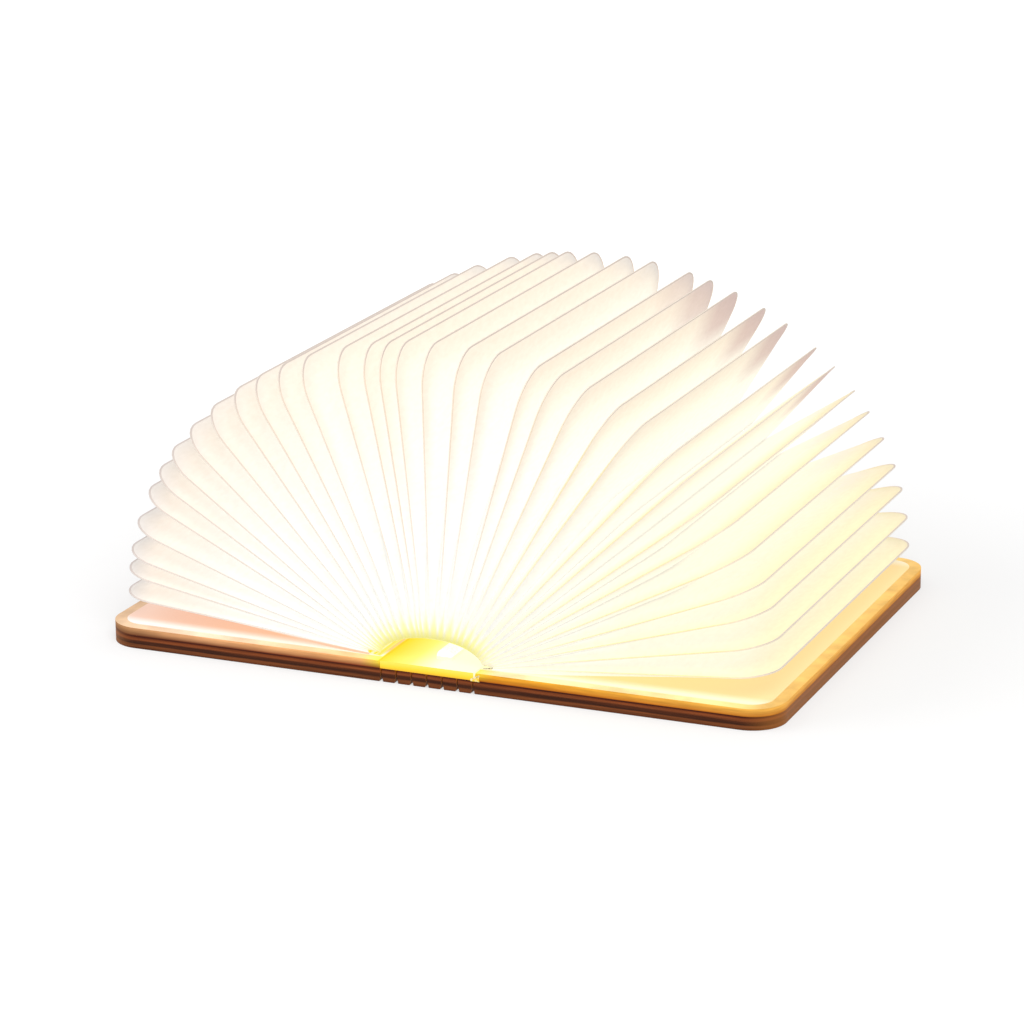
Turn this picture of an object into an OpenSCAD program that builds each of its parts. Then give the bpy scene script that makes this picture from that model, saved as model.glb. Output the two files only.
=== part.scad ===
// A lamp in the form of a small hardback book. It lies open flat, and its
// paper bellows stands over the spine as a half-round fan, lit from within.
// Origin: middle of the case on the surface it rests on. X runs across the
// open covers, Y from the front (foot) edge to the back, Z up.

/* [Covers] */
// Width of one cover, from the spine to its fore-edge
cover_w = 75; // [68:0.5:90]
// Length of the covers and of the spine
cover_l = 122; // [116:1:150]
// Thickness of the walnut board on the outside of a cover
board_t = 3.3; // [3.1:0.1:4]
// Thickness of the plate glued inside each board
plate_t = 1.9; // [1.8:0.1:2.6]
// Radius of a cover's outer corners
cover_r = 8.5; // [4:0.5:12]
// Thickness of the endpaper
endpaper_t = 0.15; // [0.1:0.05:0.3]
// Rim of bare wood round the endpaper
endpaper_rim = 3; // [1.5:0.5:6]

/* [Spine] */
// Width of the spine, from one cover to the other
spine_w = 23.7; // [22.5:0.1:25]
// Number of slats in the spine
slat_count = 6; // [6:1:6]
// Height of the hinge lines over the underside
hinge_z = 2; // [1.9:0.05:2.2]
// Width of a kerf where it is narrowest, at the hinge line
kerf_w = 0.4; // [0.3:0.02:0.5]
// Gap left on each side of a kerf when it is folded shut
bevel_gap = 0.06; // [0.04:0.01:0.12]
// Angle that one hinge line turns when the covers are folded back to back
fold_out = 26.9; // [20:0.1:26.9]
// Gap between the flexible lining and the covers
lining_gap = 0.12; // [0.1:0.01:0.3]

/* [Bellows] */
// Thickness of one leaf, which is two layers of paper
leaf_t = 0.15; // [0.08:0.01:0.2]
// How far the leaves stay inside the ends of the covers
leaf_inset = 3; // [2:0.5:8]
// Radius of a leaf's outer corners
leaf_r = 9; // [5:0.5:14]
// How far the lowest leaves stay inside the fore-edge
fore_margin = 2.25; // [2:0.25:8]
// Height over the surface that the fan is centred on
fan_lift = 10.7; // [9.5:0.1:12]
// How much less the fan rises than a cover is wide
rise_margin = 4.2; // [3:0.1:10]
// Half the width of the mouth at the foot of the leaves
mouth_half_w = 13.4; // [13:0.1:14.5]
// Height of the mouth over the endpapers
mouth_h = 5.9; // [5.6:0.1:7]
// Half the width over which the leaves meet the spine
foot_spread = 13.2; // [12.8:0.1:13.6]
// Height of the leaves' feet over the endpaper
foot_z = 0.2; // [0.2:0.05:0.4]
// Room left over in the closed book
closed_slack = 0.9; // [0.85:0.05:1.2]
// Thickness of the paper arch that closes the bellows over the spine
arch_t = 0.2; // [0.15:0.05:0.4]
// Gap between the arch and the leaves' feet
arch_gap = 0.15; // [0.1:0.05:0.3]
// Clearance of a leaf's foot past the pivot beside it
foot_gap = 0.3; // [0.2:0.1:1]

/* [Light] */
// Width of the light bar's carrier
carrier_w = 4; // [3.9:0.1:4.2]
// Height of the carrier
carrier_h = 0.8; // [0.6:0.1:1]
// Length of the light bar
bar_l = 110; // [90:1:114]
// Width of the strip that carries the chips
strip_w = 2.2; // [2:0.1:2.4]
// Thickness of that strip
strip_t = 0.5; // [0.4:0.1:0.6]
// Number of chips
chip_count = 12; // [6:1:20]
// Width of a chip
chip_w = 1.2; // [1:0.1:1.4]
// Height of a chip
chip_h = 0.4; // [0.3:0.1:0.5]
// Outer radius of the half-round diffuser
diffuser_r = 1.9; // [1.85:0.05:2]
// Wall of the diffuser
diffuser_wall = 0.4; // [0.3:0.05:0.5]

/* [Battery and electronics] */
// Skin left under every pocket
skin_t = 1.3; // [1:0.1:1.5]
// Clearance round what lies in a pocket
pocket_gap = 0.15; // [0.1:0.05:0.3]
// Width of the battery cell, across the cover
cell_w = 46; // [30:1:50]
// Length of the battery cell, along the cover
cell_l = 60; // [40:1:64]
// Thickness of the battery cell
cell_t = 2.5; // [2:0.1:2.8]
// Distance from the spine to the middle of the cell
cell_x = 37; // [34:1:38]
// Distance of the cell's middle in front of the cover's middle
cell_y = 10; // [8:1:14]
// Width of the control board
pcb_w = 30; // [24:1:36]
// Length of the control board, behind the socket
pcb_l = 15; // [12:1:18]
// Thickness of the control board
pcb_t = 0.8; // [0.6:0.1:1]
// Height of the parts on the control board
pcb_part_h = 0.9; // [0.7:0.1:0.9]
// Width of the charging socket
socket_w = 8.9; // [8:0.1:9.2]
// Height of the charging socket
socket_h = 3.1; // [2.8:0.1:3.2]
// Depth of the charging socket
socket_l = 7.3; // [6:0.1:8]
// Wall of the charging socket
socket_wall = 0.35; // [0.3:0.05:0.5]
// Distance from the fore-edge to the middle of the charging socket
socket_x = 37.5; // [35.5:0.5:50]
// Radius of the charge indicator's light pipe
indicator_r = 0.75; // [0.5:0.05:0.8]
// Gap between the light pipe and the control board
indicator_gap = 0.3; // [0.1:0.1:2]
// Distance from the socket's middle to the light pipe
indicator_pitch = 9; // [8:0.5:12]
// Width of the flat cable to the light bar
ribbon_w = 6; // [4:0.5:8]
// Thickness of the flat cable
ribbon_t = 0.3; // [0.2:0.05:0.3]
// Width of the open sensor, square
sensor_w = 4; // [3:0.1:5]
// Height of the open sensor
sensor_h = 1.2; // [1:0.1:1.6]
// Radius of a catch magnet
magnet_r = 3; // [2:0.25:4]
// Thickness of a catch magnet
magnet_t = 2; // [1.5:0.1:2]
// Distance of the magnets from the fore-edge
magnet_edge = 8; // [7:0.5:12]
// Distance of the magnets from the ends of the cover
magnet_end = 13; // [12:0.5:20]

/* [Fan] */
// How far round the fan each leaf's tip stands, in degrees from the right
leaf_angles = [
    1, 7, 13, 18, 24, 30, 35, 41, 46, 53, 58, 64,
    69, 73, 80, 85, 91, 96, 99, 102, 107, 114, 119,
    124, 129, 135, 141, 147, 152, 157, 164, 170, 174, 179
];

/* [Hidden] */
$fn = 64;
eps = 0.01;
half_spine = spine_w / 2;
half_l = cover_l / 2;
case_t = board_t + plate_t;
face_z = case_t + endpaper_t;
slat_p = spine_w / slat_count;
fold_in = 180 / (slat_count + 1);
leaf_count = len(leaf_angles);

// The sides of a kerf are upright near the hinge line, and lean back beyond
// these two heights by half a hinge line's turn
kerf_breaks = [
    hinge_z - (kerf_w / 2 - bevel_gap) / tan(fold_out / 2),
    hinge_z + (kerf_w / 2 - bevel_gap) / tan(fold_in / 2)
];

// The tips lie on a half ellipse, and each leaf's line starts near the spine
fan_reach = half_spine + cover_w - fore_margin;
fan_rise = cover_w - rise_margin;
fan_foot_z = face_z + foot_z;
settle_steps = 8;
tips = [for (a = leaf_angles) [fan_reach * cos(a), fan_lift + fan_rise * sin(a)]];
leaf_turns = [for (tip = tips) settled_angle(tip, settle_steps)];
leaf_feet = [for (a = leaf_turns) [foot_spread * cos(a), fan_foot_z]];

// The covers' inner faces are the first and the last line of the fan
line_turns = concat([0], leaf_turns, [180]);
line_points = concat([[half_spine, face_z]], leaf_feet, [[-half_spine, face_z]]);

// In the closed book every leaf lies at one step over the one below it
closed_gap = 2 * hinge_radius() * sin(slat_count * fold_in / 2) - 2 * (face_z - hinge_z);
leaf_step = (closed_gap - closed_slack) / (leaf_count + 1);
leaf_pivots = [for (i = [0 : leaf_count]) pivot_between(i)];
leaf_l = cover_l - 2 * leaf_inset;

// Places of the electronics in the right-hand cover
right = half_spine;
back_y = half_l;
pcb_back_y = back_y - socket_l;
cell_front_y = -cell_y - cell_l / 2;
ribbon_y = pcb_back_y - pcb_l / 2;
connector_w = 4;
indicator_z = skin_t + indicator_r + pocket_gap;
sensor_inset = 2.5;
fore_x = half_spine + cover_w;
socket_mid = fore_x - socket_x;
magnet_y = half_l - magnet_end;

function slat_name(i) = str("slat_", i);
function leaf_name(i) = str("leaf_", i < 10 ? "0" : "", i);
function hinge_radius() = slat_p / 2 / sin(fold_in / 2);
function direction(a) = [cos(a), sin(a)];
function cross2(a, b) = a[0] * b[1] - a[1] * b[0];

// Angle of a leaf from its foot to its tip, found by repeating the same step,
// because the foot itself moves with the angle
function settled_angle(tip, steps) =
    steps == 0
    ? atan2(tip[1] - fan_foot_z, tip[0])
    : let (a = settled_angle(tip, steps - 1))
      atan2(tip[1] - fan_foot_z, tip[0] - foot_spread * cos(a));

// Crossing of two lines, each given by a point and an angle
function crossing(p, a, q, b) =
    p + direction(a) * cross2(q - p, direction(b)) / cross2(direction(a), direction(b));

// The pivot lies between two lines of the fan, half a closed step from each,
// so that turning about it lays one line parallel to the other
function pivot_between(i) =
    let (a = line_turns[i], b = line_turns[i + 1])
    crossing(line_points[i], a, line_points[i + 1], b)
    + direction((a + b) / 2) * leaf_step / 2 / sin((b - a) / 2);

// Distance along a leaf's line, from its foot
function along(i, p) = (p - line_points[i]) * direction(line_turns[i]);

// Where a leaf's line leaves the half-round mouth over the spine
function mouth_distance(i) =
    let (
        p = [line_points[i][0] / mouth_half_w, (line_points[i][1] - face_z) / mouth_h],
        d = [cos(line_turns[i]) / mouth_half_w, sin(line_turns[i]) / mouth_h],
        b = p * d,
        c = p * p - 1
    )
    (-b + sqrt(max(0, b * b - d * d * c))) / (d * d);

// A leaf begins past the mouth and past the pivots on both sides of it
function leaf_start(i) =
    max(
        mouth_distance(i),
        along(i, leaf_pivots[i - 1]) + foot_gap,
        along(i, leaf_pivots[i]) + foot_gap
    );

// Distance of a board's side from the hinge line at a height, and its points
// between two heights
function edge_x(z) =
    max(
        kerf_w / 2,
        bevel_gap + (z > hinge_z ? (z - hinge_z) * tan(fold_in / 2) : (hinge_z - z) * tan(fold_out / 2))
    );
function edge_points(low, high) =
    let (breaks = [for (z = kerf_breaks) if (z > low && z < high) z])
    [for (z = concat([low], breaks, [high])) [edge_x(z), z]];

// Points of a half ellipse
function arc_points(radii, steps, last) =
    [for (k = steps) [radii[0] * cos(180 * k / last), radii[1] * sin(180 * k / last)]];

// Outline with two round corners on the side away from the spine
module cover_outline(w, l, r) {
    translate([0, -l / 2])
        square([w - r, l]);
    translate([w - r - eps, r - l / 2])
        square([r + eps, l - 2 * r]);
    for (side = [-1, 1])
        translate([w - r, side * (l / 2 - r)])
            circle(r);
}

// One layer of a right-hand cover, with its spine edge bevelled to fold
module cover_layer(low, high) {
    intersection() {
        translate([right, 0, low])
            linear_extrude(high - low)
                cover_outline(cover_w, cover_l, cover_r);
        translate([right, half_l + eps, 0])
            rotate([90, 0, 0])
                linear_extrude(cover_l + 2 * eps)
                    polygon(concat(
                        edge_points(low, high),
                        [[cover_w + eps, high], [cover_w + eps, low]]
                    ));
    }
}

module magnet_places() {
    for (side = [-1, 1])
        translate([fore_x - magnet_edge, side * magnet_y, skin_t])
            children();
}

module magnet_pockets() {
    magnet_places()
        cylinder(h = board_t, r = magnet_r + pocket_gap);
}

module magnets() {
    magnet_places()
        cylinder(h = magnet_t, r = magnet_r);
}

// Everything sunk into the right-hand cover, as boxes from the skin upwards
module cell_box(gap, top) {
    translate([right + cell_x - cell_w / 2 - gap, cell_front_y - gap, skin_t])
        cube([cell_w + 2 * gap, cell_l + 2 * gap, top - skin_t]);
}

module pcb_box(gap, top) {
    translate([socket_mid - pcb_w / 2 - gap, pcb_back_y - pcb_l - gap, skin_t])
        cube([pcb_w + 2 * gap, pcb_l + gap, top - skin_t]);
}

module socket_box(gap, reach) {
    translate([socket_mid - socket_w / 2 - gap, pcb_back_y, skin_t - gap])
        cube([socket_w + 2 * gap, socket_l + reach, socket_h + 2 * gap]);
}

module sensor_box(gap, top) {
    translate([
        fore_x - magnet_edge - magnet_r - sensor_inset - sensor_w - gap,
        magnet_y - sensor_w / 2 - gap,
        skin_t
    ])
        cube([sensor_w + 2 * gap, sensor_w + 2 * gap, top - skin_t]);
}

module indicator_rod(gap) {
    translate([socket_mid + indicator_pitch, back_y, indicator_z])
        rotate([90, 0, 0])
            cylinder(h = socket_l - indicator_gap + gap, r = indicator_r + gap);
}

// The flat cable lies on the connector and runs to the spine in a groove
module ribbon_box(gap, top) {
    connector_x = socket_mid - pcb_w / 2 + connector_w;
    start_x = right + edge_x(board_t) + lining_gap;
    bottom = skin_t + pcb_t + pcb_part_h;
    translate([start_x - gap, ribbon_y - ribbon_w / 2 - gap, bottom])
        cube([connector_x - start_x + gap, ribbon_w + 2 * gap, top - bottom]);
}

module board_with_pockets() {
    difference() {
        cover_layer(0, board_t);
        cell_box(pocket_gap, case_t);
        pcb_box(pocket_gap, case_t);
        socket_box(pocket_gap, eps);
        sensor_box(pocket_gap, case_t);
        translate([0, eps, 0])
            indicator_rod(pocket_gap / 2);
        ribbon_box(pocket_gap, case_t);
        magnet_pockets();
    }
}

module right_cover_board() {
    color("#5a3a28")
        board_with_pockets();
}

module right_inner_plate() {
    cell_top = skin_t + cell_t + pocket_gap;
    color("#c9a277")
        difference() {
            cover_layer(board_t, case_t);
            cell_box(pocket_gap, cell_top);
            socket_box(pocket_gap, eps);
        }
}

module right_endpaper() {
    color("#f4efe6")
        endpaper();
}

module endpaper() {
    start = edge_x(case_t) + lining_gap;
    translate([right + start, 0, case_t])
        linear_extrude(endpaper_t)
            cover_outline(
                cover_w - start - endpaper_rim,
                cover_l - 2 * endpaper_rim,
                cover_r - endpaper_rim
            );
}

module battery_cell() {
    color("#b9bec4")
        cell_box(0, skin_t + cell_t);
}

// Board with its connector for the flat cable, its charger chip and its coil
module control_board() {
    part_z = skin_t + pcb_t;
    pcb_x = socket_mid - pcb_w / 2;
    chip_side = 5;
    color("#1f6b3a")
        union() {
            pcb_box(0, part_z);
            translate([pcb_x, ribbon_y - ribbon_w / 2, part_z - eps])
                cube([connector_w, ribbon_w, pcb_part_h + eps]);
            for (k = [1, 2])
                translate([
                    pcb_x + k * pcb_w / 3,
                    ribbon_y - chip_side / 2,
                    part_z - eps
                ])
                    cube([chip_side, chip_side, pcb_part_h + eps]);
        }
}

module usb_socket() {
    mouth_l = socket_l - 2 * socket_wall;
    tongue_h = 0.7;
    color("#c8ccd0")
        difference() {
            socket_box(0, 0);
            translate([
                socket_mid - socket_w / 2 + socket_wall,
                back_y - mouth_l,
                skin_t + socket_wall
            ])
                cube([
                    socket_w - 2 * socket_wall,
                    mouth_l + eps,
                    socket_h / 2 - socket_wall - tongue_h / 2
                ]);
            translate([
                socket_mid - socket_w / 2 + socket_wall,
                back_y - mouth_l,
                skin_t + socket_h / 2 + tongue_h / 2
            ])
                cube([
                    socket_w - 2 * socket_wall,
                    mouth_l + eps,
                    socket_h / 2 - socket_wall - tongue_h / 2
                ]);
        }
}

module charge_indicator() {
    color("#e9f5ff")
        indicator_rod(0);
}

module hall_sensor() {
    color("#202225")
        sensor_box(0, skin_t + sensor_h);
}

module ribbon_cable() {
    color("#d9822b")
        ribbon_box(0, skin_t + pcb_t + pcb_part_h + ribbon_t);
}

module right_magnets() {
    color("#9aa0a6")
        magnets();
}

// Slats are counted from the right-hand cover
module slat(i) {
    middle_x = half_spine - (i - 0.5) * slat_p;
    side = edge_points(0, board_t);
    color("#4a2f22")
        translate([middle_x, half_l, 0])
            rotate([90, 0, 0])
                linear_extrude(cover_l)
                    polygon(concat(
                        [for (p = side) [-slat_p / 2 + p[0], p[1]]],
                        [for (k = [len(side) - 1 : -1 : 0]) [slat_p / 2 - side[k][0], side[k][1]]]
                    ));
}

module spine_lining() {
    lining_half_w = half_spine + edge_x(board_t) - lining_gap;
    color("#f0a24a")
        translate([-lining_half_w, -half_l, board_t])
            cube([2 * lining_half_w, cover_l, plate_t]);
}

// The light bar stands on the slat next to the middle of the spine
bar_x = slat_p / 2;
carrier_top = case_t + carrier_h;
strip_top = carrier_top + strip_t;
strip_l = bar_l - 2 * (diffuser_wall + pocket_gap);

module on_bar(w, low, h, l) {
    translate([bar_x - w / 2, -l / 2, low])
        cube([w, l, h]);
}

module led_carrier() {
    color("#c4c8cc")
        on_bar(carrier_w, case_t, carrier_h, bar_l);
}

module led_board() {
    color("#f2f2ee")
        on_bar(strip_w, carrier_top, strip_t, strip_l);
}

module led_chips() {
    chip_p = strip_l / chip_count;
    color("#ffd75e")
        for (k = [0 : chip_count - 1])
            translate([bar_x - chip_w / 2, (k + 0.5) * chip_p - (strip_l + chip_w) / 2, strip_top])
                cube([chip_w, chip_w, chip_h]);
}

module half_round(r, l) {
    intersection() {
        translate([bar_x, l / 2, carrier_top])
            rotate([90, 0, 0])
                cylinder(h = l, r = r);
        translate([bar_x - 2 * r, -l, carrier_top])
            cube([4 * r, 2 * l, 2 * r]);
    }
}

module diffuser() {
    color("#fff6dc")
        difference() {
            half_round(diffuser_r, bar_l);
            half_round(diffuser_r - diffuser_wall, bar_l - 2 * diffuser_wall);
        }
}

// The arch springs from the endpapers and passes under the leaves' feet
module paper_arch() {
    outer = [mouth_half_w - arch_gap, mouth_h - arch_gap];
    inner = outer - [arch_t, arch_t];
    arch_steps = 32;
    color("#ffe9b0")
        translate([0, leaf_l / 2, face_z])
            rotate([90, 0, 0])
                linear_extrude(leaf_l)
                    polygon(concat(
                        arc_points(outer, [0 : arch_steps], arch_steps),
                        arc_points(inner, [arch_steps : -1 : 0], arch_steps)
                    ));
}

// Leaves are counted from the right-hand cover
module leaf(i) {
    start = leaf_start(i);
    reach = norm(tips[i - 1] - leaf_feet[i - 1]);
    color("#fbf3e2")
        translate([leaf_feet[i - 1][0], 0, leaf_feet[i - 1][1]])
            rotate([0, -leaf_turns[i - 1], 0])
                translate([start, 0, -leaf_t / 2])
                    linear_extrude(leaf_t)
                        cover_outline(reach - start, leaf_l, leaf_r);
}

module mirrored() {
    mirror([1, 0, 0])
        children();
}

module left_cover_board() {
    color("#5a3a28")
        mirrored()
            difference() {
                cover_layer(0, board_t);
                magnet_pockets();
            }
}

module left_inner_plate() {
    color("#c9a277")
        mirrored()
            cover_layer(board_t, case_t);
}

module left_endpaper() {
    color("#f4efe6")
        mirrored()
            endpaper();
}

module left_magnets() {
    color("#9aa0a6")
        mirrored()
            magnets();
}

right_cover_board();
right_inner_plate();
right_endpaper();
battery_cell();
control_board();
usb_socket();
charge_indicator();
hall_sensor();
ribbon_cable();
right_magnets();
for (i = [1 : slat_count])
    slat(i);
spine_lining();
led_carrier();
led_board();
led_chips();
diffuser();
paper_arch();
for (i = [1 : leaf_count])
    leaf(i);
left_cover_board();
left_inner_plate();
left_endpaper();
left_magnets();
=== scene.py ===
"""Looks of the folding book lamp: an open walnut case with a glowing paper fan.

All lengths are in metres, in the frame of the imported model: X runs across the
open covers, Y from the front to the back, Z up. Colours are linear.
"""

import math
from collections import namedtuple

import bpy
import numpy as np
from mathutils import Matrix, Vector


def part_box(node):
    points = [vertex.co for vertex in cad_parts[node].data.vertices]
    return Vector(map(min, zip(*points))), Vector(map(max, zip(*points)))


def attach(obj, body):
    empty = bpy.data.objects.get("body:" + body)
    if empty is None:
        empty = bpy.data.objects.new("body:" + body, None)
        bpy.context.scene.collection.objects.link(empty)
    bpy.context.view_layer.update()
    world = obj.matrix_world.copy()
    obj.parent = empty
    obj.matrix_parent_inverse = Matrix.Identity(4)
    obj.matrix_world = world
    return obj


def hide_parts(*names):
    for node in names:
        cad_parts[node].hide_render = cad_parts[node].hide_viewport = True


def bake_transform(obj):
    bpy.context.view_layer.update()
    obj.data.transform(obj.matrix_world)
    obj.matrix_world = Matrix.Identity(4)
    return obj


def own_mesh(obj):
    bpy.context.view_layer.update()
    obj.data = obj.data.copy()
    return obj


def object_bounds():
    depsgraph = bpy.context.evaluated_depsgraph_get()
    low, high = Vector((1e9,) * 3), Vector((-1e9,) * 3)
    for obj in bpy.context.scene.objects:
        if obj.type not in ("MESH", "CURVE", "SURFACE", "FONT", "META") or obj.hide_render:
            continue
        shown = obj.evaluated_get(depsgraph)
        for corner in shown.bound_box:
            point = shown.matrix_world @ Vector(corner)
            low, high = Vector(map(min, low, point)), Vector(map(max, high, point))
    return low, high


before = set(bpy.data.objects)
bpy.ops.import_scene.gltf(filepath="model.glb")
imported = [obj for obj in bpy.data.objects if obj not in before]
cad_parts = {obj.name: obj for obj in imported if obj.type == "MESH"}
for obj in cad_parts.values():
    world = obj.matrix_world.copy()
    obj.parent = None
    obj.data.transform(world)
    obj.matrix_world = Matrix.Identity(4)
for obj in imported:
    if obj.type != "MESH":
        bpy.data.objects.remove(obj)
cad_low, cad_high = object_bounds()

MM = 0.001

# Places read from the frame
face_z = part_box("right_endpaper")[1].z
case_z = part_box("right_inner_plate")[1].z
board_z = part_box("right_cover_board")[1].z
half_case = cad_high.x
half_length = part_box("right_cover_board")[1].y
lining_low, lining_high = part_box("spine_lining")
arch_low, arch_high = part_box("paper_arch")
leaf_names = sorted(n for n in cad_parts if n.startswith("leaf_"))
slat_names = sorted(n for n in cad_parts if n.startswith("slat_"))
page_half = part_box(leaf_names[0])[1].y

# The paper folds
corner_radius = 9 * MM
valley_radius = 7 * MM
fore_depth = 24 * MM
side_depth = 11 * MM
side_power = 1.6
pinch = 0.35
paper_t = 0.12 * MM
crease_width = 0.35 * MM
crease_t = 0.26 * MM
edge_steps = 22
corner_steps = 8
fore_steps = 12
fold_steps = 9
fold_power = 1.4
arch_steps_y = 40
arch_steps_x = 4
arch_rim = 0.4 * MM
lining_steps = 8

# Colours of the lit paper, painted with the light and shade of its glow, and a dark brown edge. A range is
# two values that a colour changes between.
white_paper = (1.0, 0.99, 0.94)
# Painted light: cream and gold where the glow is warmer, yellow at the mouth and orange ember in the wedge
# by the left-hand cover
cream_glow = (0.985, 0.91, 0.68)
# Painted shade: peach by the ridges, pink on the left-hand pages, grey and rose at the tips
peach_ridge_shade = (0.95, 0.82, 0.68)
pink_left_shade = (0.94, 0.85, 0.77)
grey_tip_shade = (0.74, 0.71, 0.69)
rose_tip_shade = (0.66, 0.5, 0.47)
gold_glow = (1.0, 0.84, 0.32)
mouth_glow = (1.0, 0.93, 0.16)
ember_glow = (0.93, 0.56, 0.38)
dark_edge = (0.16, 0.06, 0.025)
# Painted shade of the ridge lines, where the double paper lets less of the glow through
ridge_shade = (0.86, 0.71, 0.56)
left_ridge_shade = (0.74, 0.65, 0.6)
tip_ridge_shade = (0.55, 0.5, 0.49)
# Painted light of the arch over the spine, its streaks of light and the lining's flap
right_mouth_glow = (1.0, 0.97, 0.5)
left_mouth_glow = (1.0, 0.8, 0.02)
mouth_light_streaks = (1.0, 0.99, 0.72)
flap_glow = (1.0, 0.66, 0.05)
pale_margin = 4 * MM
pale_fade = 4 * MM
shade_reach = 12 * MM
tip_reach = 5 * MM
left_turns = (0.5, 0.95)
right_turns = (0.45, 0.1)
lens_start_turns = (0.08, 0.16)
lens_end_turns = (0.46, 0.36)
lens_radii = (0.78, 0.9)
lens_backs = (0.35, 0.75)
mouth_start_turns = (0.08, 0.35)
mouth_end_turns = (0.98, 0.8)
dark_edge_turn = 0.3

# Share of each colour where it shows most
right_cream = 0.45
outer_cream = 0.25
left_peach = 0.75
right_peach = 0.4
left_pink = 0.75
left_grey = 0.75
back_grey = 0.7
lens_rose = 0.85
right_gold = 0.4
ridge_gold = 0.8
ridge_grey = 0.7
mouth_yellow = 0.8
wedge_ember = 0.9

# How the lit surfaces share their colour between reflected light and their own
glow_base = 0.44
glow_strength = 0.64
mouth_base = 0.2
mouth_strength = 0.85
ply_base = 0.45
ply_strength = 0.66

# Grain of the materials, as repeats per metre along X, Y and Z
paper_fibres = (900, 350, 900)
# The next grain sets the painted streaks of light on the arch over the spine
mouth_light_rays = (1400, 9, 1400)
walnut_wave = (90, 90, 700)
walnut_edge_streaks = (60, 60, 2600)
walnut_face_grain = (520, 16, 520)
ply_grain = (140, 140, 2400)
lining_threads = (1500, 1500, 1500)
fine_grain = (1500, 1500, 1500)
coarse_grain = (300, 300, 300)
brushed_grain = (60, 2500, 2500)
cable_grain = (40, 2600, 40)

# Part of a normal along an axis from which a surface counts as facing it
facing_limit = 0.7

# The photograph's camera: place in metres, angles in degrees, lens and sensor in millimetres
camera_place = (0.3391, -0.8087, 0.2937)
camera_azimuth = 22.96
camera_elevation = 16.97
camera_roll = -0.51
camera_lens = 129.34
sensor_width = 36

# Lights and floor: places in metres, powers in watts
lit_place = (0, 0, 0.03)
key_place = (0.5, -0.7, 1.0)
key_size = 0.9
key_power = 11
fill_place = (-0.8, -0.4, 0.6)
fill_size = 0.8
fill_power = 4
world_level = 0.5
floor_reach = 6
floor_drop = 0.1 * MM
floor_grey = (0.36, 0.36, 0.365)
near_floor = (0.55, 0.55, 0.545)
far_floor = (0.9, 0.9, 0.9)
ramp_per_metre = 1.2
near_floor_at = 0.1
far_floor_at = 0.5

Line = namedtuple("Line", "point angle root tip body")
Place = namedtuple("Place", "x y z object normal")
Kind = namedtuple("Kind", "name dark light grain roughness metallic glow nodes")


# Helpers for shapes

def mesh_piece(name, points, faces, material, tints=None, smooth=True):
    """A mesh object of these points and faces, with a colour for each point where tints has them."""
    mesh = bpy.data.meshes.new(name)
    mesh.from_pydata([tuple(p) for p in points], [], faces)
    mesh.update()
    if tints:
        layer = mesh.color_attributes.new("tint", "FLOAT_COLOR", "POINT")
        layer.data.foreach_set("color", np.array([(*t, 1) for t in tints], np.float32).ravel())
    for polygon in mesh.polygons:
        polygon.use_smooth = smooth
    piece = bpy.data.objects.new(name, mesh)
    bpy.context.scene.collection.objects.link(piece)
    piece.data.materials.append(material)
    return piece


def thicken(piece, thickness):
    layer = piece.modifiers.new("thickness", "SOLIDIFY")
    layer.thickness = thickness
    layer.offset = 0


def grid_faces(rows, columns):
    """Quads of a grid of points stored row by row."""
    return [
        (r * columns + c, r * columns + c + 1, (r + 1) * columns + c + 1, (r + 1) * columns + c)
        for r in range(rows - 1)
        for c in range(columns - 1)
    ]


def direction(angle):
    return np.array([math.cos(angle), math.sin(angle)])


def cross2(a, b):
    return a[0] * b[1] - a[1] * b[0]


def crossing(first, second):
    """Point where two lines of the fan cross, seen along Y."""
    a, b = direction(first.angle), direction(second.angle)
    gap = second.point - first.point
    return first.point + a * cross2(gap, b) / cross2(a, b)


def lerp(a, b, t):
    return a + (b - a) * t


def ease(value, start, end):
    """0 on the start's side, 1 on the end's side, and smooth between them."""
    t = min(max((value - start) / (end - start), 0), 1)
    return t * t * (3 - 2 * t)


def mix(a, b, t):
    return tuple(lerp(p, q, t) for p, q in zip(a, b))


# Lines of the fan

def leaf_line(name):
    """A leaf's own line, from the spread of its points seen along Y."""
    points = np.array([(v.co.x, v.co.z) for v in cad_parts[name].data.vertices])
    middle = points.mean(0)
    spread = np.cov((points - middle).T)
    angle = 0.5 * math.atan2(2 * spread[0, 1], spread[0, 0] - spread[1, 1]) % math.pi
    along = (points - middle) @ direction(angle)
    return Line(middle, angle, along.min(), along.max(), name)


def cover_line(side, body, neighbour):
    """A cover's inner face as a line of the fan, as long as the leaf beside it."""
    angle = 0 if side > 0 else math.pi
    point = np.array([side * lining_high.x, face_z])
    start = (neighbour.point - point) @ direction(angle)
    return Line(point, angle, start + neighbour.root, start + neighbour.tip, body)


leaves = [leaf_line(name) for name in leaf_names]
right_line = cover_line(1, "right_cover", leaves[0])
left_line = cover_line(-1, "left_cover", leaves[-1])
lines = [right_line, *leaves, left_line]


# Outlines of the pages

def ridge_outline(root, tip):
    """Points (r, y) round a page from its front root over the fore-edge to its back root."""
    arc_r = tip - corner_radius
    arc_y = page_half - corner_radius
    front = [(lerp(root, arc_r, k / edge_steps), -page_half) for k in range(edge_steps)]
    corner = [
        (
            arc_r + corner_radius * math.sin(math.pi / 2 * k / corner_steps),
            -arc_y - corner_radius * math.cos(math.pi / 2 * k / corner_steps),
        )
        for k in range(corner_steps)
    ]
    half_fore = [(tip, lerp(-arc_y, 0, k / (fore_steps / 2))) for k in range(fore_steps // 2)]
    half = front + corner + half_fore
    return half + [(tip, 0)] + [(r, -y) for r, y in reversed(half)]


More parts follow.
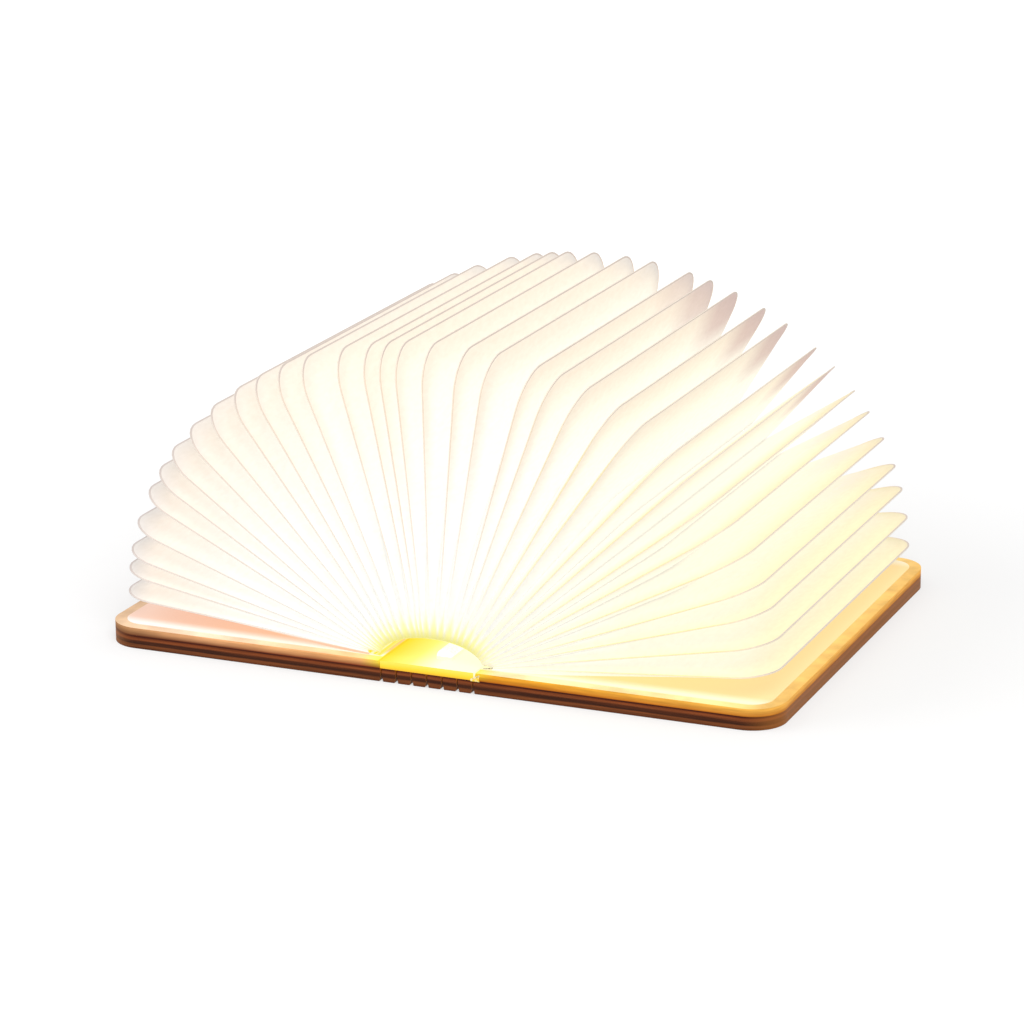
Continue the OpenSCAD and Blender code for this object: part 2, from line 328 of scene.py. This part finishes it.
def valley_outline(root, tip):
    """Points (r, y) of the fold line between two pages, one for each point of the ridge."""
    arc_r = tip - fore_depth - valley_radius
    arc_y = page_half - side_depth - valley_radius
    front = []
    for k in range(edge_steps):
        t = k / edge_steps
        front.append((lerp(root, arc_r, t), -page_half + side_depth * t ** side_power))
    corner = [
        (
            arc_r + valley_radius * math.sin(math.pi / 2 * k / corner_steps),
            -arc_y - valley_radius * math.cos(math.pi / 2 * k / corner_steps),
        )
        for k in range(corner_steps)
    ]
    bottom = tip - fore_depth
    half_fore = [(bottom, lerp(-arc_y, 0, k / (fore_steps / 2))) for k in range(fore_steps // 2)]
    half = front + corner + half_fore
    return half + [(bottom, 0)] + [(r, -y) for r, y in reversed(half)]


# Colours of the pages

def page_tint(radius, depth, margin, back, turn, looks_right):
    """Colour of the lit paper at one place of a pleat: painted glow, with painted shade by the ridges, on
    the left-hand pages and at the tips.

    radius runs from 0 at the mouth to 1 at the fore-edge, depth from 0 on the ridge to 1 in
    the valley, margin is the distance from the ridge, back from -1 at the front to 1 at the
    back, turn from 0 at the right-hand cover to 1 at the left-hand one, and looks_right tells
    the pleat's two sides apart.
    """
    left = ease(turn, *left_turns)
    right = ease(turn, *right_turns)
    # Painted warm glow: cream on the right-hand pages and towards the fore-edge
    colour = mix(white_paper, cream_glow, right_cream * right * ease(radius, 0.1, 0.6))
    colour = mix(colour, cream_glow, outer_cream * ease(radius, 0.6, 0.95))
    # Painted shade: peach along the ridges, where less of the glow comes through
    near_ridge = ease(margin, shade_reach, 0)
    peach = lerp(left_peach, right_peach, right) * near_ridge * ease(radius, 0.3, 0.8)
    colour = mix(colour, peach_ridge_shade, peach)
    # Painted shade: pink on the left-hand pages, more towards the fore-edge
    colour = mix(colour, pink_left_shade, left_pink * left * ease(radius, 0.4, 1.0))
    # Painted shade: grey at the tips, on the left-hand pages and at the back
    tip = ease(margin, tip_reach, 0.3 * tip_reach) * ease(radius, 0.84, 0.95)
    grey = max(left_grey * left, back_grey * ease(back, 0.6, 0.95))
    colour = mix(colour, grey_tip_shade, grey * tip)
    # Painted shade in rose at the back tips of pages seen edge-on, and on the other side painted gold
    # light by the ridge
    if looks_right:
        lens = ease(turn, *lens_start_turns) * ease(turn, *lens_end_turns) * ease(radius, *lens_radii)
        colour = mix(colour, rose_tip_shade, lens_rose * lens * ease(back, *lens_backs))
    else:
        colour = mix(colour, gold_glow, right_gold * ease(turn, 0.45, 0.25) * near_ridge)
    # Painted yellow glow near the mouth, where the light leaves the spine
    mouth = ease(radius, 0.03 + 0.1 * depth, 0)
    mouth *= ease(turn, *mouth_start_turns) * ease(turn, *mouth_end_turns)
    return mix(colour, mouth_glow, mouth_yellow * mouth)


def crease_tint(radius, turn):
    """Colour of a ridge line, where the paper is double: painted shade, as less of the glow comes through,
    with painted gold light on the right-hand ridges, painted grey shade at the tips and white near the
    mouth.
    """
    colour = mix(ridge_shade, left_ridge_shade, ease(turn, *left_turns))
    gold = ridge_gold * ease(turn, 0.42, 0.3) * ease(radius, 0.95, 0.8)
    colour = mix(colour, gold_glow, gold)
    colour = mix(colour, tip_ridge_shade, ridge_grey * ease(radius, 0.9, 1.0))
    return mix(white_paper, colour, ease(radius, 0.02, 0.35))


def mouth_tint(turn, y):
    """Colour of the arch over the spine: painted glow, deepest on the left, with a dark brown line along
    its front edge on the right.
    """
    if y < -page_half + arch_rim and turn < dark_edge_turn:
        return dark_edge
    return mix(right_mouth_glow, left_mouth_glow, ease(turn, 0.35, 0.95))


# Materials

def new_material(name):
    material = bpy.data.materials.new(name)
    material.use_nodes = True
    nodes = material.node_tree.nodes
    return material, nodes, material.node_tree.links, nodes["Principled BSDF"]


def ramp_node(nodes, links, source, stops):
    """Colour ramp with these (position, colour) stops."""
    node = nodes.new("ShaderNodeValToRGB")
    links.new(source, node.inputs["Fac"])
    elements = node.color_ramp.elements
    elements[0].position, elements[0].color = stops[0][0], (*stops[0][1], 1)
    elements[1].position, elements[1].color = stops[-1][0], (*stops[-1][1], 1)
    for position, colour in stops[1:-1]:
        element = elements.new(position)
        element.color = (*colour, 1)
    return node.outputs["Color"]


def math_node(nodes, links, operation, *values):
    """Math node of numbers and sockets, in the order of its inputs."""
    node = nodes.new("ShaderNodeMath")
    node.operation = operation
    for socket, value in zip(node.inputs, values):
        if isinstance(value, (int, float)):
            socket.default_value = value
        else:
            links.new(value, socket)
    return node.outputs["Value"]


def mix_node(nodes, links, factor, a, b, blend="MIX"):
    """Mix of two colours, each a socket or a colour."""
    node = nodes.new("ShaderNodeMix")
    node.data_type = "RGBA"
    node.blend_type = blend
    sockets = (node.inputs[0], node.inputs[6], node.inputs[7])
    for socket, value in zip(sockets, (factor, a, b)):
        if isinstance(value, (int, float)):
            socket.default_value = value
        elif isinstance(value, tuple):
            socket.default_value = (*value, 1)
        else:
            links.new(value, socket)
    return node.outputs[2]


def place_nodes(nodes, links):
    """The object's own X, Y and Z, and its coordinates and normals as vectors."""
    source = nodes.new("ShaderNodeTexCoord")
    split = nodes.new("ShaderNodeSeparateXYZ")
    links.new(source.outputs["Object"], split.inputs["Vector"])
    x, y, z = (split.outputs[axis] for axis in "XYZ")
    return Place(x, y, z, source.outputs["Object"], source.outputs["Normal"])


def facing_node(nodes, links, place, axis, soft=False):
    """1 where the surface faces along the axis, either way, and 0 elsewhere or softly down to 0."""
    split = nodes.new("ShaderNodeSeparateXYZ")
    links.new(place.normal, split.inputs["Vector"])
    size = math_node(nodes, links, "ABSOLUTE", split.outputs[axis])
    if soft:
        return math_node(nodes, links, "POWER", size, 1.5)
    return math_node(nodes, links, "GREATER_THAN", size, facing_limit)


def noise_node(nodes, links, place, grain, detail=4.0):
    """Noise on the object's coordinates, with its own number of repeats along each axis."""
    mapping = nodes.new("ShaderNodeMapping")
    mapping.inputs["Scale"].default_value = grain
    links.new(place.object, mapping.inputs["Vector"])
    noise = nodes.new("ShaderNodeTexNoise")
    noise.inputs["Scale"].default_value = 1.0
    noise.inputs["Detail"].default_value = detail
    links.new(mapping.outputs["Vector"], noise.inputs["Vector"])
    return noise.outputs["Fac"]


def add_bump(nodes, links, shader, height, strength, distance):
    bump = nodes.new("ShaderNodeBump")
    bump.inputs["Strength"].default_value = strength
    bump.inputs["Distance"].default_value = distance
    links.new(height, bump.inputs["Height"])
    links.new(bump.outputs["Normal"], shader.inputs["Normal"])


def let_glow(nodes, links, shader, colour, base=glow_base, strength=glow_strength):
    """The surface reflects a share of the colour, and gives the rest as its own light."""
    links.new(mix_node(nodes, links, 1.0, colour, (base,) * 3, "MULTIPLY"), shader.inputs["Base Color"])
    links.new(colour, shader.inputs["Emission Color"])
    shader.inputs["Emission Strength"].default_value = strength


def paper_material(name, base, strength, streaks=None):
    """Tear-proof paper lit from the spine: its colour is the pieces' tint of painted light and shade, with
    fine fibres, and painted streaks of light where streaks are given.
    """
    material, nodes, links, shader = new_material(name)
    tint = nodes.new("ShaderNodeAttribute")
    tint.attribute_name = "tint"
    place = place_nodes(nodes, links)
    fibres = noise_node(nodes, links, place, paper_fibres)
    cloud = ramp_node(nodes, links, fibres, [(0.3, (0.955, 0.95, 0.94)), (0.7, (1, 1, 1))])
    colour = mix_node(nodes, links, 1.0, tint.outputs["Color"], cloud, "MULTIPLY")
    if streaks:
        # Painted streaks of light along the paper
        rays = noise_node(nodes, links, place, mouth_light_rays, detail=1.0)
        share = ramp_node(nodes, links, rays, [(0.42, (0, 0, 0)), (0.66, (0.75, 0.75, 0.75))])
        colour = mix_node(nodes, links, share, colour, streaks)
    let_glow(nodes, links, shader, colour, base, strength)
    add_bump(nodes, links, shader, fibres, 0.12, 0.1 * MM)
    shader.inputs["Roughness"].default_value = 0.75
    shader.inputs["Specular IOR Level"].default_value = 0.2
    return material


def walnut_material():
    """Oiled walnut ply: dark and light plies on the cut edges, with painted light making them
    paler and warmer at the sides of the case, and long grain on the faces."""
    material, nodes, links, shader = new_material("walnut")
    place = place_nodes(nodes, links)
    ragged = noise_node(nodes, links, place, walnut_wave)
    height = math_node(nodes, links, "DIVIDE", place.z, board_z)
    height = math_node(nodes, links, "MULTIPLY_ADD", ragged, 0.12, height)
    height = math_node(nodes, links, "SUBTRACT", height, 0.06)
    plies = ramp_node(nodes, links, height, [
        (0.0, (0.1, 0.026, 0.006)),
        (0.22, (0.21, 0.066, 0.02)),
        (0.3, (0.2, 0.06, 0.018)),
        (0.38, (0.045, 0.012, 0.004)),
        (0.6, (0.075, 0.018, 0.005)),
        (0.7, (0.26, 0.07, 0.02)),
        (0.82, (0.22, 0.055, 0.014)),
        (0.92, (0.07, 0.01, 0.002)),
        (1.0, (0.06, 0.01, 0.003)),
    ])
    streaks = noise_node(nodes, links, place, walnut_edge_streaks)
    streak = ramp_node(nodes, links, streaks, [(0.3, (0.6, 0.55, 0.5)), (0.65, (1.2, 1.15, 1.1))])
    edge = mix_node(nodes, links, 1.0, plies, streak, "MULTIPLY")
    # Painted light: the cut edges facing along X, at the sides of the case, are painted paler and warmer
    lit_side_edge = mix_node(nodes, links, 0.55, edge, (0.55, 0.2, 0.04))
    edge = mix_node(nodes, links, facing_node(nodes, links, place, "X", soft=True), edge, lit_side_edge)
    grain = noise_node(nodes, links, place, walnut_face_grain, detail=6.0)
    face = ramp_node(nodes, links, grain, [
        (0.3, (0.06, 0.024, 0.011)),
        (0.5, (0.12, 0.05, 0.024)),
        (0.7, (0.2, 0.09, 0.045)),
    ])
    flat = facing_node(nodes, links, place, "Z")
    links.new(mix_node(nodes, links, flat, edge, face), shader.inputs["Base Color"])
    rough = math_node(nodes, links, "MULTIPLY_ADD", grain, 0.25, 0.4)
    links.new(rough, shader.inputs["Roughness"])
    shader.inputs["Specular IOR Level"].default_value = 0.15
    add_bump(nodes, links, shader, mix_node(nodes, links, flat, streaks, grain), 0.35, 0.15 * MM)
    return material


def inner_ply_material():
    """Plate inside a cover: a tan rim, and a reddish edge, both lit from the spine."""
    material, nodes, links, shader = new_material("inner_ply")
    place = place_nodes(nodes, links)
    across = math_node(nodes, links, "MULTIPLY_ADD", place.x, 0.5 / half_case, 0.5)
    rim = ramp_node(nodes, links, across, [
        (0.0, (0.72, 0.5, 0.32)),
        (0.15, (0.97, 0.76, 0.58)),
        (0.4, (0.99, 0.62, 0.3)),
        (0.43, (1.0, 0.86, 0.12)),
        (0.57, (1.0, 0.86, 0.12)),
        (0.6, (1.0, 0.88, 0.5)),
        (0.9, (1.0, 0.8, 0.38)),
        (1.0, (0.9, 0.56, 0.16)),
    ])
    top = ramp_node(nodes, links, across, [
        (0.0, (0.4, 0.2, 0.08)),
        (0.15, (0.95, 0.5, 0.24)),
        (0.4, (1.0, 0.52, 0.2)),
        (0.43, (1.0, 0.8, 0.06)),
        (0.57, (1.0, 0.8, 0.06)),
        (0.6, (0.98, 0.46, 0.03)),
        (1.0, (0.95, 0.52, 0.1)),
    ])
    low = ramp_node(nodes, links, across, [
        (0.0, (0.1, 0.025, 0.006)),
        (0.15, (0.12, 0.018, 0.005)),
        (0.42, (0.2, 0.018, 0.003)),
        (0.58, (0.4, 0.09, 0.004)),
        (1.0, (0.5, 0.15, 0.01)),
    ])
    height = math_node(nodes, links, "SUBTRACT", place.z, board_z)
    height = math_node(nodes, links, "DIVIDE", height, case_z - board_z)
    height = math_node(nodes, links, "POWER", height, 0.8)
    edge = mix_node(nodes, links, height, low, top)
    flat = facing_node(nodes, links, place, "Z")
    colour = mix_node(nodes, links, flat, edge, rim)
    grain = noise_node(nodes, links, place, ply_grain, detail=5.0)
    streak = ramp_node(nodes, links, grain, [(0.3, (0.78, 0.74, 0.7)), (0.65, (1.08, 1.05, 1.0))])
    colour = mix_node(nodes, links, 1.0, colour, streak, "MULTIPLY")
    let_glow(nodes, links, shader, colour, ply_base, ply_strength)
    shader.inputs["Roughness"].default_value = 0.6
    shader.inputs["Specular IOR Level"].default_value = 0.12
    add_bump(nodes, links, shader, grain, 0.2, 0.1 * MM)
    return material


def endpaper_material():
    """White paper inside a cover, glowing with painted light from the lamp: pale along its front and back,
    and warmer under the pleats.
    """
    material, nodes, links, shader = new_material("endpaper")
    place = place_nodes(nodes, links)
    across = math_node(nodes, links, "MULTIPLY_ADD", place.x, 0.5 / half_case, 0.5)
    outer = ramp_node(nodes, links, across, [
        (0.0, (0.9, 0.88, 0.86)),
        (0.42, (0.99, 0.86, 0.7)),
        (0.58, (0.99, 0.9, 0.6)),
        (1.0, (0.97, 0.86, 0.62)),
    ])
    inner = ramp_node(nodes, links, across, [
        (0.0, (0.86, 0.62, 0.52)),
        (0.42, (0.97, 0.62, 0.34)),
        (0.58, (1.0, 0.8, 0.3)),
        (1.0, (0.97, 0.72, 0.36)),
    ])
    depth = math_node(nodes, links, "ABSOLUTE", place.y)
    depth = math_node(nodes, links, "SUBTRACT", half_length - pale_margin, depth)
    depth = math_node(nodes, links, "MULTIPLY", depth, 1 / pale_fade)
    fibres = noise_node(nodes, links, place, paper_fibres)
    depth = math_node(nodes, links, "MULTIPLY_ADD", fibres, 0.1, depth)
    share = ramp_node(nodes, links, depth, [(0.1, (0, 0, 0)), (1.0, (1, 1, 1))])
    let_glow(nodes, links, shader, mix_node(nodes, links, share, outer, inner))
    add_bump(nodes, links, shader, fibres, 0.15, 0.1 * MM)
    shader.inputs["Roughness"].default_value = 0.8
    return material


def lining_material():
    """Woven lining of the spine, glowing with painted light: a golden band at the ends, deeper orange
    towards the bottom, and bright where the light stands on it.
    """
    material, nodes, links, shader = new_material("lining")
    place = place_nodes(nodes, links)
    height = math_node(nodes, links, "SUBTRACT", place.z, lining_low.z)
    height = math_node(nodes, links, "DIVIDE", height, lining_high.z - lining_low.z)
    threads = noise_node(nodes, links, place, lining_threads, detail=2.0)
    height = math_node(nodes, links, "MULTIPLY_ADD", threads, 0.12, height)
    band = ramp_node(nodes, links, height, [
        (0.05, (0.95, 0.5, 0.02)),
        (0.4, (1.0, 0.72, 0.03)),
        (0.9, (1.0, 0.84, 0.1)),
    ])
    across = math_node(nodes, links, "MULTIPLY_ADD", place.x, 0.5 / lining_high.x, 0.5)
    face = ramp_node(nodes, links, across, [
        (0.0, (1.0, 0.72, 0.02)),
        (0.3, (1.0, 0.9, 0.2)),
        (0.6, (1.0, 0.99, 0.74)),
        (1.0, (1.0, 0.99, 0.72)),
    ])
    end = facing_node(nodes, links, place, "Y")
    colour = mix_node(nodes, links, end, face, band)
    let_glow(nodes, links, shader, colour, mouth_base, mouth_strength)
    add_bump(nodes, links, shader, threads, 0.3, 0.1 * MM)
    shader.inputs["Roughness"].default_value = 0.8
    return material


def grained_material(kind):
    """A material of two close colours in fine grain, with a bump of the same grain."""
    material, nodes, links, shader = new_material(kind.name)
    grain = noise_node(nodes, links, place_nodes(nodes, links), kind.grain)
    colour = ramp_node(nodes, links, grain, [(0.3, kind.dark), (0.7, kind.light)])
    links.new(colour, shader.inputs["Base Color"])
    rough = math_node(nodes, links, "MULTIPLY_ADD", grain, 0.2, kind.roughness - 0.1)
    links.new(rough, shader.inputs["Roughness"])
    shader.inputs["Metallic"].default_value = kind.metallic
    if kind.glow:
        links.new(colour, shader.inputs["Emission Color"])
        shader.inputs["Emission Strength"].default_value = kind.glow
    add_bump(nodes, links, shader, grain, 0.15, 0.05 * MM)
    return material


paper = paper_material("lit_paper", glow_base, glow_strength)
arch_paper = paper_material("mouth_glow", mouth_base, mouth_strength, mouth_light_streaks)
walnut = walnut_material()
inner_ply = inner_ply_material()
endpaper = endpaper_material()
lining = lining_material()


# Folds between the pages

def fold_halves(first, second, first_folded, second_folded):
    """The ridges that a fold starts from, each with its page's angle and the sign of its side."""
    centre = crossing(first, second)
    halves = []
    for line, folded, side in ((first, first_folded, 1), (second, second_folded, -1)):
        if folded:
            shift = (line.point - centre) @ direction(line.angle)
            halves.append((ridge_outline(line.root + shift, line.tip + shift), line.angle, side))
    return centre, halves


def fold_steps_of(side, alone):
    """Steps from the ridge to the valley on the first side, and back up on the second."""
    if side > 0:
        return range(fold_steps + 1)
    return range(fold_steps if alone else fold_steps - 1, -1, -1)


def fold_sheet(first, second, first_folded, second_folded):
    """Points and colours of the paper between two lines of the fan: down from one ridge into the
    valley, and up to the other. A line that isn't folded is the cover that the paper is glued to."""
    centre, halves = fold_halves(first, second, first_folded, second_folded)
    shift_a = (first.point - centre) @ direction(first.angle)
    shift_b = (second.point - centre) @ direction(second.angle)
    root = (first.root + shift_a + second.root + shift_b) / 2
    tip = (first.tip + shift_a + second.tip + shift_b) / 2
    valley = valley_outline(root, tip)
    middle = (first.angle + second.angle) / 2
    if not first_folded:
        middle = first.angle
    if not second_folded:
        middle = second.angle
    points = []
    tints = []
    rows = 0
    for ridge, angle, side in halves:
        for k in fold_steps_of(side, len(halves) == 1):
            rows += 1
            t = (k / fold_steps) ** fold_power
            bend = t * (1 - pinch + pinch * t)
            for p, q in zip(ridge, valley):
                r, y, turn = lerp(p[0], q[0], t), lerp(p[1], q[1], t), lerp(angle, middle, bend)
                x, z = centre + direction(turn) * r
                points.append((x, y, z))
                margin = math.hypot(r - p[0], y - p[1], r * (turn - angle))
                radius = (r - root) / (tip - root)
                colour = page_tint(radius, t, margin, y / page_half, angle / math.pi, side < 0)
                # Painted orange light in the shaded wedge between the last page and the left-hand cover
                if not second_folded:
                    ember = ease(t, 0.0, 0.5) * ease(radius, 1.0, 0.85)
                    colour = mix(colour, ember_glow, wedge_ember * ember)
                tints.append(colour)
    return points, grid_faces(rows, len(valley)), tints


def blend_fold(piece):
    """Bakes the piece's place into its points."""
    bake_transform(piece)


def place_fold(piece, k, second):
    """The last fold crosses the pivot that the tree of joints leaves open, so it rides on the body past
    it; the others keep their place baked into their points.
    """
    if k < len(lines) - 2:
        blend_fold(piece)
    else:
        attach(piece, second.body)
        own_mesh(piece)


def make_folds():
    for k, (first, second) in enumerate(zip(lines, lines[1:])):
        folded = (k > 0, k < len(lines) - 2)
        points, faces, tints = fold_sheet(first, second, *folded)
        piece = mesh_piece(f"fold_{k + 1:02d}", points, faces, paper, tints)
        thicken(piece, paper_t)
        place_fold(piece, k, second)


# Creases at the ridges

def make_creases():
    for line in leaves:
        outer = ridge_outline(line.root, line.tip)
        inner = ridge_outline(line.root, line.tip - crease_width)
        across = direction(line.angle + math.pi / 2) * crease_t / 2
        along = direction(line.angle)
        points = []
        tints = []
        for (r, y), (inner_r, inner_y) in zip(outer, inner):
            inner_y *= (page_half - crease_width) / page_half
            tint = crease_tint((r - line.root) / (line.tip - line.root), line.angle / math.pi)
            corners = ((r, y, 1), (r, y, -1), (inner_r, inner_y, -1), (inner_r, inner_y, 1))
            for radius, width, side in corners:
                x, z = line.point + along * radius + across * side
                points.append((x, width, z))
                tints.append(tint)
        count = len(outer)
        faces = [
            (4 * k + c, 4 * k + (c + 1) % 4, 4 * k + 4 + (c + 1) % 4, 4 * k + 4 + c)
            for k in range(count - 1)
            for c in range(4)
        ]
        faces += [(3, 2, 1, 0), tuple(4 * (count - 1) + c for c in range(4))]
        piece = mesh_piece(f"page_{line.body[5:]}", points, faces, paper, tints, smooth=False)
        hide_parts(line.body)
        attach(piece, line.body)


# Arch over the spine

def make_arch():
    rows = [lerp(-page_half, page_half, n / arch_steps_y) for n in range(arch_steps_y + 1)]
    rows[1:1] = [-page_half + 0.9 * arch_rim, -page_half + arch_rim]
    for k, (first, second) in enumerate(zip(lines, lines[1:])):
        a = first.point + direction(first.angle) * first.root
        b = second.point + direction(second.angle) * second.root
        if k == 0:
            a = np.array([arch_high.x, face_z])
        if k == len(lines) - 2:
            b = np.array([arch_low.x, face_z])
        points = []
        tints = []
        for y in rows:
            for m in range(arch_steps_x + 1):
                x, z = lerp(a, b, m / arch_steps_x)
                points.append((x, y, z))
                tints.append(mouth_tint((k + m / arch_steps_x) / (len(lines) - 1), y))
        faces = grid_faces(len(rows), arch_steps_x + 1)
        piece = mesh_piece(f"arch_{k + 1:02d}", points, faces, arch_paper, tints)
        thicken(piece, paper_t)
        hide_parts("paper_arch")
        place_fold(piece, k, second)


# Lining of the spine

def block_piece(name, right_x, left_x, steps):
    """Block of the lining from one X to another, cut across in steps."""
    points = []
    for y in (lining_low.y, lining_high.y):
        for n in range(steps + 1):
            x = lerp(right_x, left_x, n / steps)
            points += [(x, y, lining_low.z), (x, y, lining_high.z)]
    row = 2 * (steps + 1)
    faces = [(1, 0, row, row + 1), (row - 2, row - 1, 2 * row - 1, 2 * row - 2)]
    for n in range(steps):
        a0, a1, a2, a3 = 2 * n, 2 * n + 1, 2 * n + 2, 2 * n + 3
        faces += [
            (a0, a1, a3, a2),
            (row + a0, row + a2, row + a3, row + a1),
            (a1, row + a1, row + a3, a3),
            (a0, a2, row + a2, row + a0),
        ]
    return mesh_piece(name, points, faces, lining, smooth=False)


def make_lining():
    """One block for each hinge line, from the middle of one slat to the middle of the next. The
    middle block rides on the lining's own body, which turns by half of the covers' fold."""
    bodies = ["right_cover", *slat_names, "left_cover"]
    slat_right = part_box(slat_names[0])[1].x
    slat_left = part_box(slat_names[-1])[0].x
    pitch = (slat_right - slat_left) / len(slat_names)
    for k, (a, b) in enumerate(zip(bodies, bodies[1:])):
        hinge_x = slat_right - k * pitch
        right_x = min(hinge_x + pitch / 2, lining_high.x)
        left_x = max(hinge_x - pitch / 2, lining_low.x)
        piece = block_piece(f"lining_{k + 1}", right_x, left_x, lining_steps)
        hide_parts("spine_lining")
        if k == len(slat_names) // 2:
            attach(piece, "spine_lining")
        else:
            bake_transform(piece)


def make_flap():
    """Small curled end of the lining, just past the last kerf on the right."""
    width, height, curl = 2.3 * MM, 1.5 * MM, 0.7 * MM
    overlap, clearance, tuck = 0.7 * MM, 0.15 * MM, 0.1 * MM
    narrow_end = 0.25
    steps = 6
    points = []
    tints = []
    for m in range(steps + 1):
        for n in range(steps + 1):
            u, v = m / steps, n / steps
            x = lining_high.x - overlap + width * u
            y = -half_length - clearance - curl * u * (1 - v) * v * 2
            top = board_z + height * lerp(narrow_end, 1, u)
            points.append((x, y, lerp(board_z - tuck, top, v)))
            # Painted orange glow on the flap, turning to a dark brown line at its top
            tints.append(mix(flap_glow, dark_edge, ease(v, 0.72, 0.95)))
    piece = mesh_piece("lining_flap", points, grid_faces(steps + 1, steps + 1), arch_paper, tints)
    thicken(piece, paper_t)
    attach(piece, "right_cover")


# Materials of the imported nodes

def dress(material, *names):
    for name in names:
        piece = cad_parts[name]
        piece.data.materials.clear()
        piece.data.materials.append(material)


# Materials of the inside pieces: name, dark and light colour, grain, roughness, metallic, glow, nodes
kinds = (
    Kind("foil", (0.45, 0.47, 0.5), (0.6, 0.62, 0.65), coarse_grain, 0.35, 0.9, 0, ["battery_cell"]),
    Kind("solder_mask", (0.015, 0.1, 0.04), (0.03, 0.17, 0.07), fine_grain, 0.35, 0, 0, ["control_board"]),
    Kind("socket_metal", (0.5, 0.51, 0.53), (0.62, 0.63, 0.66), brushed_grain, 0.3, 1, 0, ["usb_socket"]),
    Kind("light_pipe", (0.7, 0.8, 0.86), (0.8, 0.9, 0.95), fine_grain, 0.2, 0, 0, ["charge_indicator"]),
    Kind("sensor", (0.015, 0.015, 0.018), (0.03, 0.03, 0.035), fine_grain, 0.5, 0, 0, ["hall_sensor"]),
    Kind("flat_cable", (0.4, 0.15, 0.02), (0.6, 0.26, 0.04), cable_grain, 0.4, 0, 0, ["ribbon_cable"]),
    Kind("magnet", (0.4, 0.41, 0.43), (0.52, 0.53, 0.55), fine_grain, 0.25, 1, 0,
         ["right_magnets", "left_magnets"]),
    Kind("carrier", (0.75, 0.7, 0.45), (0.85, 0.8, 0.55), brushed_grain, 0.35, 0, 0.6, ["led_carrier"]),
    Kind("led_strip", (0.75, 0.74, 0.7), (0.85, 0.84, 0.8), fine_grain, 0.4, 0, 0, ["led_board"]),
    Kind("phosphor", (0.95, 0.6, 0.08), (1.0, 0.72, 0.15), fine_grain, 0.4, 0, 2.0, ["led_chips"]),
    Kind("diffuser", (1.0, 0.96, 0.55), (1.0, 0.99, 0.72), fine_grain, 0.4, 0, 0.9, ["diffuser"]),
)


def dress_nodes():
    dress(walnut, "right_cover_board", "left_cover_board", *slat_names)
    dress(inner_ply, "right_inner_plate", "left_inner_plate")
    dress(endpaper, "right_endpaper", "left_endpaper")
    for kind in kinds:
        dress(grained_material(kind), *kind.nodes)


# Camera, lights and floor

def make_camera():
    azimuth, elevation = math.radians(camera_azimuth), math.radians(camera_elevation)
    roll = math.radians(camera_roll)
    forward = Vector((
        -math.sin(azimuth) * math.cos(elevation),
        math.cos(azimuth) * math.cos(elevation),
        -math.sin(elevation),
    ))
    right = Vector((math.cos(azimuth), math.sin(azimuth), 0))
    up = right.cross(forward)
    rolled_right = right * math.cos(roll) + up * math.sin(roll)
    rolled_up = up * math.cos(roll) - right * math.sin(roll)
    turn = Matrix((rolled_right, rolled_up, -forward)).transposed()
    data = bpy.data.cameras.new("camera")
    data.lens = camera_lens
    data.sensor_width = sensor_width
    camera = bpy.data.objects.new("camera", data)
    camera.matrix_world = Matrix.Translation(camera_place) @ turn.to_4x4()
    bpy.context.scene.collection.objects.link(camera)
    bpy.context.scene.camera = camera


def make_light(name, place, size, power):
    """Round soft light, aimed at the lamp."""
    data = bpy.data.lights.new(name, "AREA")
    data.shape = "DISK"
    data.size = size
    data.energy = power
    light = bpy.data.objects.new(name, data)
    aim = (Vector(lit_place) - Vector(place)).to_track_quat("-Z", "Y")
    light.matrix_world = Matrix.Translation(place) @ aim.to_matrix().to_4x4()
    bpy.context.scene.collection.objects.link(light)


def seen_node(nodes, links):
    """1 for rays from the camera, off a mirror or through glass, and 0 for light on other things."""
    rays = nodes.new("ShaderNodeLightPath")
    camera, glossy = rays.outputs["Is Camera Ray"], rays.outputs["Is Glossy Ray"]
    seen = math_node(nodes, links, "MAXIMUM", camera, glossy)
    return math_node(nodes, links, "MAXIMUM", seen, rays.outputs["Is Transmission Ray"])


def make_world():
    """A white world for the camera, and plain soft light on everything else."""
    world = bpy.data.worlds.new("world")
    bpy.context.scene.world = world
    world.use_nodes = True
    nodes, links = world.node_tree.nodes, world.node_tree.links
    background = nodes["Background"]
    background.inputs["Color"].default_value = (1, 1, 1, 1)
    rest = 1 - world_level
    strength = math_node(nodes, links, "MULTIPLY_ADD", seen_node(nodes, links), rest, world_level)
    links.new(strength, background.inputs["Strength"])


def make_floor():
    """Pale floor that is nearly white to the camera, whiter far away, with painted shade near the lamp
    where its own light is lower, and keeps the lamp's shadow.
    """
    material, nodes, links, shader = new_material("floor")
    length = nodes.new("ShaderNodeVectorMath")
    length.operation = "LENGTH"
    links.new(place_nodes(nodes, links).object, length.inputs[0])
    far = math_node(nodes, links, "MULTIPLY", length.outputs["Value"], ramp_per_metre)
    own = ramp_node(nodes, links, far, [(near_floor_at, near_floor), (far_floor_at, far_floor)])
    shader.inputs["Base Color"].default_value = (*floor_grey, 1)
    shader.inputs["Roughness"].default_value = 0.9
    shader.inputs["Specular IOR Level"].default_value = 0.1
    links.new(own, shader.inputs["Emission Color"])
    links.new(seen_node(nodes, links), shader.inputs["Emission Strength"])
    corners = [(x * floor_reach, y * floor_reach, 0) for x, y in ((-1, -1), (1, -1), (1, 1), (-1, 1))]
    floor = mesh_piece("floor", corners, [(0, 1, 2, 3)], material, smooth=False)
    floor.location.z = -floor_drop


make_camera()
make_folds()
make_creases()
make_arch()
make_lining()
make_flap()
dress_nodes()
make_world()
make_floor()
make_light("key", key_place, key_size, key_power)
make_light("fill", fill_place, fill_size, fill_power)
bpy.context.scene.view_settings.view_transform = "Standard"
